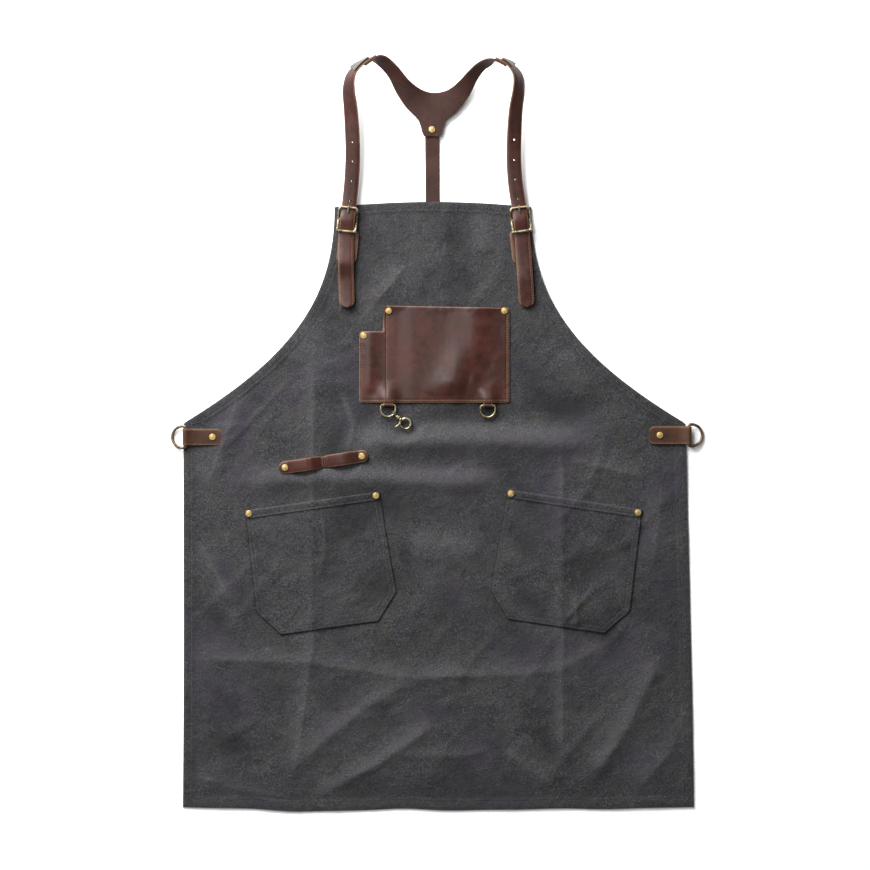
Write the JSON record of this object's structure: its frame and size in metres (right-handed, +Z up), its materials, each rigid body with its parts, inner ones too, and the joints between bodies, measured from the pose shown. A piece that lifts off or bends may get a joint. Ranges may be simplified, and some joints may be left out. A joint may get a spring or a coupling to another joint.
{
  "type": "work apron",
  "caption": "Canvas work apron with leather harness straps, yoke, chest pocket, tool strip, patch pockets, buckles, D-rings and a snap hook, lying flat.",
  "frame": {"origin": "middle of the plan outline, on the floor the apron lies on", "axes": "+Z up out of the front face, +Y towards the neck, +X to the right as seen from above"},
  "size_m": [0.71, 1.0037, 0.0412],
  "materials": {
    "canvas": "matt waxed weave",
    "leather": "smooth grain, semi-gloss",
    "flesh_leather": "flesh side, matt",
    "antique_brass": "antique, satin",
    "brass": "bright, domed"
  },
  "bodies": {
    "apron": {"canvas_body": "canvas", "pocket_left": "canvas", "pocket_right": "canvas", "chest_pocket": "leather", "tool_strip": "leather", "strap_left": "leather", "strap_right": "leather", "shoulder_patch_left": "leather", "shoulder_patch_right": "leather", "buckle_tab_left": "leather", "buckle_tab_right": "leather", "side_tab_left": "leather", "side_tab_right": "leather", "ring_tab_left": "leather", "ring_tab_right": "leather", "yoke": "flesh_leather", "back_strap": "flesh_leather", "buckle_left": "antique_brass", "buckle_right": "antique_brass", "prong_left": "antique_brass", "prong_right": "antique_brass", "rivet_01": "brass", "rivet_02": "brass", "rivet_03": "brass", "rivet_04": "brass", "rivet_05": "brass", "rivet_06": "brass", "rivet_07": "brass", "rivet_08": "brass", "rivet_09": "brass", "rivet_10": "brass", "rivet_11": "brass", "rivet_12": "brass"},
    "side_ring_left": {"side_ring_left": "antique_brass"},
    "side_ring_right": {"side_ring_right": "antique_brass"},
    "chest_ring_left": {"chest_ring_left": "antique_brass", "hook_body": "antique_brass"},
    "chest_ring_right": {"chest_ring_right": "antique_brass"},
    "hook_lever": {"hook_lever": "antique_brass"}
  },
  "joints": [
    {"name": "side_ring_left_hinge", "type": "hinge", "parent": "apron", "child": "side_ring_left", "pos_m": [-0.335, -0.0034, 0.0074], "axis": [0, 1, 0], "range_deg": [0, 165]},
    {"name": "side_ring_right_hinge", "type": "hinge", "parent": "apron", "child": "side_ring_right", "pos_m": [0.335, -0.001, 0.00741], "axis": [0, -1, 0], "range_deg": [0, 165]},
    {"name": "chest_ring_left_hinge", "type": "hinge", "parent": "apron", "child": "chest_ring_left", "pos_m": [-0.0654, 0.0394, 0.00771], "axis": [-1, 0, 0], "range_deg": [0, 90]},
    {"name": "chest_ring_right_hinge", "type": "hinge", "parent": "apron", "child": "chest_ring_right", "pos_m": [0.0674, 0.0386, 0.00775], "axis": [-1, 0, 0], "range_deg": [0, 110]},
    {"name": "hook_lever_hinge", "type": "hinge", "parent": "chest_ring_left", "child": "hook_lever", "pos_m": [-0.04973, 0.01429, 0.00839], "axis": [-0.0135, 0.0111, 0.9998], "range_deg": [0, 25], "stiffness_Nm_per_rad": 0.0005}
  ]
}
